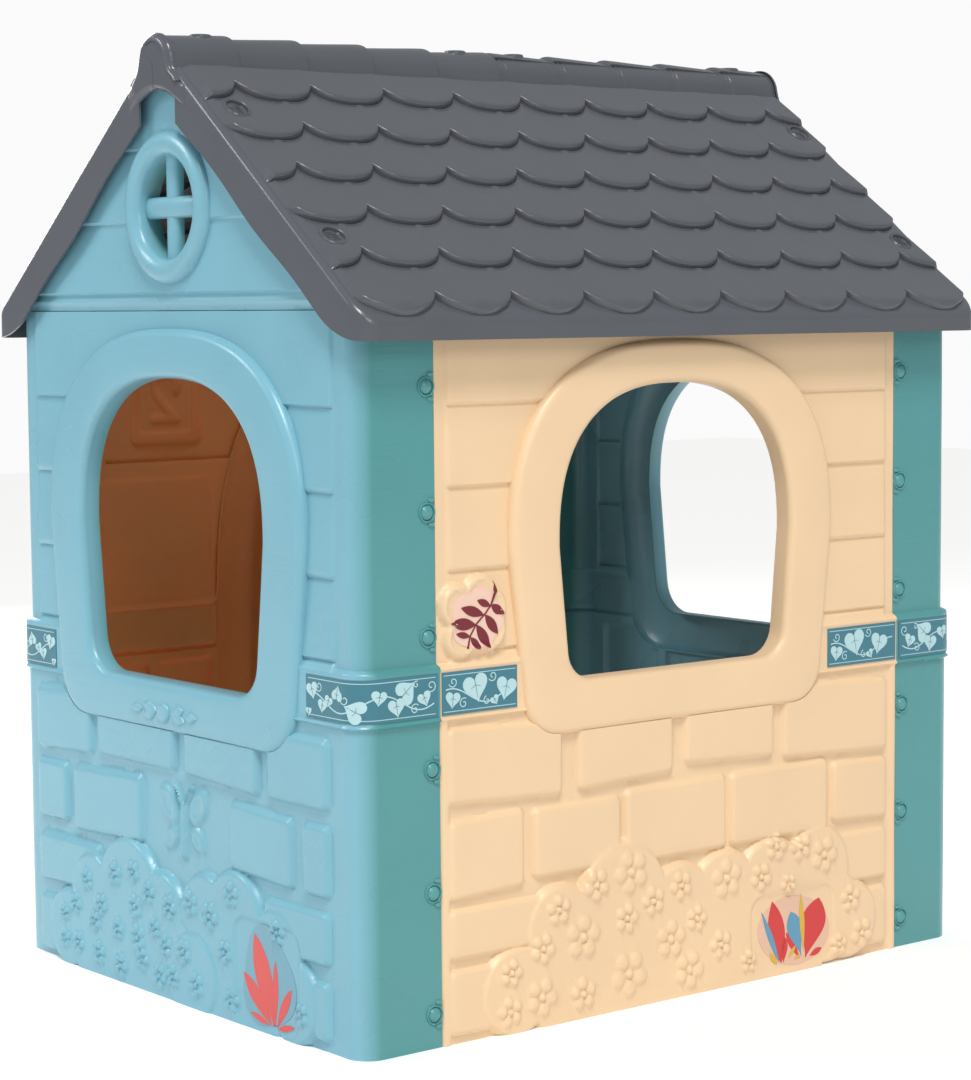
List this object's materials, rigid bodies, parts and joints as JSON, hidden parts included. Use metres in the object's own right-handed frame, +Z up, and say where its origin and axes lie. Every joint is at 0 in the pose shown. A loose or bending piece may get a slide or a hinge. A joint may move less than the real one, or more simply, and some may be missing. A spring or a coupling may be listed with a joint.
{
  "type": "plastic playhouse",
  "caption": "Child's plastic playhouse: gabled tiled roof in two halves, arched windows, round gable windows and a hinged half door, with printed leaf labels.",
  "frame": {"origin": "centre of the house's footprint, on the ground", "axes": "+X along the ridge towards the far gable, +Y towards the wall with the door, +Z up"},
  "size_m": [0.948, 0.77, 1.1],
  "materials": {
    "light_blue_plastic": "satin moulded",
    "teal_plastic": "satin moulded",
    "cream_plastic": "satin moulded",
    "orange_plastic": "satin moulded",
    "slate_plastic": "satin moulded",
    "door_plastic": "satin moulded",
    "grey_screw_plastic": "smooth",
    "pin_steel": "drawn",
    "vine_print": "printed film",
    "plant_print": "printed film",
    "petal_print": "printed film",
    "plaque_print": "printed film",
    "number_print": "printed film",
    "panel_print": "printed film"
  },
  "bodies": {
    "house": {"near_gable_wall": "light_blue_plastic", "far_gable_wall": "light_blue_plastic", "window_wall": "cream_plastic", "front_wall": "orange_plastic", "near_gable_top": "light_blue_plastic", "far_gable_top": "light_blue_plastic", "window_side_roof": "slate_plastic", "door_side_roof": "slate_plastic", "window_side_roof_screws": "grey_screw_plastic", "door_side_roof_screws": "grey_screw_plastic", "ridge_screws": "grey_screw_plastic", "lower_hinge_pin": "pin_steel", "upper_hinge_pin": "pin_steel", "near_window_corner_plugs": "teal_plastic", "near_door_corner_plugs": "teal_plastic", "far_window_corner_plugs": "teal_plastic", "far_door_corner_plugs": "teal_plastic", "near_left_vine_label": "vine_print", "near_right_vine_label": "vine_print", "far_left_vine_label": "vine_print", "far_right_vine_label": "vine_print", "window_wall_left_vine_label": "vine_print", "window_wall_right_vine_label": "vine_print", "front_wall_vine_label": "vine_print", "near_plant_label": "plant_print", "far_plant_label": "plant_print", "petal_label": "petal_print", "leaf_plaque_label": "plaque_print", "house_number_label": "number_print", "leaf_panel_label": "panel_print"},
    "door": {"door_leaf": "door_plastic"}
  },
  "joints": [
    {"name": "door_swing", "type": "hinge", "parent": "house", "child": "door", "pos_m": [0.268, 0.3575, 0.21], "axis": [0, 0, -1], "range_deg": [0, 105]}
  ]
}
